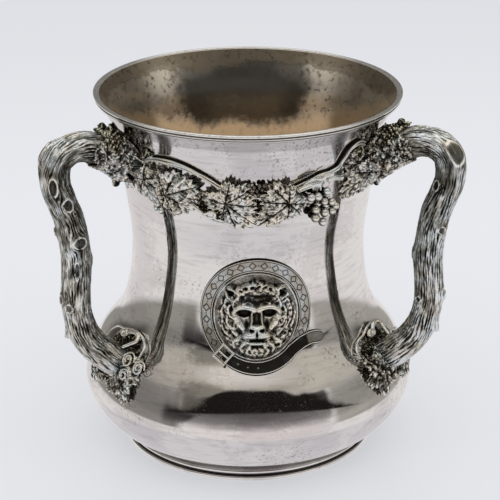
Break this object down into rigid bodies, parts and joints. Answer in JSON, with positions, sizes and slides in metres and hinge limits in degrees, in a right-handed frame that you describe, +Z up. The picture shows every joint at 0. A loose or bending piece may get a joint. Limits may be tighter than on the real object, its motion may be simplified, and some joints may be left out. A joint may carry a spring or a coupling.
{
  "type": "loving cup",
  "caption": "Silver loving cup with a waisted body, low moulded foot, cast branch handles, vine garlands and a strap-framed lion medallion, for drinking or display.",
  "frame": {"origin": "on the cup's axis at the level it stands on, just under the base plate's underside", "axes": "+Z up along the cup's axis, -Y towards the front medallion, +Y along the back handle"},
  "size_m": [0.225, 0.2226, 0.2055],
  "materials": {
    "polished_silver": "polished sterling silver, mirror-like, with pale tarnish clouds and fine wear scratches",
    "oxidised_silver": "cast silver with dark oxidised recesses and bright rubbed ridges",
    "gilt_silver": "worn gilding over silver, tarnished to olive brown"
  },
  "bodies": {
    "root": {"body_shell": "polished_silver", "rim_wire": "polished_silver", "base_plate": "gilt_silver", "foot_collar": "polished_silver", "foot_wire": "polished_silver", "handle_left": "oxidised_silver", "handle_right": "oxidised_silver", "handle_back": "oxidised_silver", "upper_leaf_a_left": "oxidised_silver", "upper_leaf_a_right": "oxidised_silver", "upper_leaf_a_back": "oxidised_silver", "upper_leaf_b_left": "oxidised_silver", "upper_leaf_b_right": "oxidised_silver", "upper_leaf_b_back": "oxidised_silver", "lower_leaf_a_left": "oxidised_silver", "lower_leaf_a_right": "oxidised_silver", "lower_leaf_a_back": "oxidised_silver", "lower_leaf_b_left": "oxidised_silver", "lower_leaf_b_right": "oxidised_silver", "lower_leaf_b_back": "oxidised_silver", "bud_cluster_left": "oxidised_silver", "bud_cluster_right": "oxidised_silver", "bud_cluster_back": "oxidised_silver", "curl_left": "oxidised_silver", "curl_right": "oxidised_silver", "curl_back": "oxidised_silver", "vine_stem_front": "oxidised_silver", "vine_stem_right": "oxidised_silver", "vine_stem_left": "oxidised_silver", "leaf_1_front": "oxidised_silver", "leaf_1_right": "oxidised_silver", "leaf_1_left": "oxidised_silver", "leaf_2_front": "oxidised_silver", "leaf_2_right": "oxidised_silver", "leaf_2_left": "oxidised_silver", "leaf_3_front": "oxidised_silver", "leaf_3_right": "oxidised_silver", "leaf_3_left": "oxidised_silver", "grape_bunch_front": "oxidised_silver", "grape_bunch_right": "oxidised_silver", "grape_bunch_left": "oxidised_silver", "tendril_front": "oxidised_silver", "tendril_right": "oxidised_silver", "tendril_left": "oxidised_silver", "medallion_disc": "oxidised_silver", "strap_ring": "polished_silver", "strap_end": "polished_silver", "buckle": "polished_silver", "lion_mask": "oxidised_silver"}
  },
  "joints": []
}
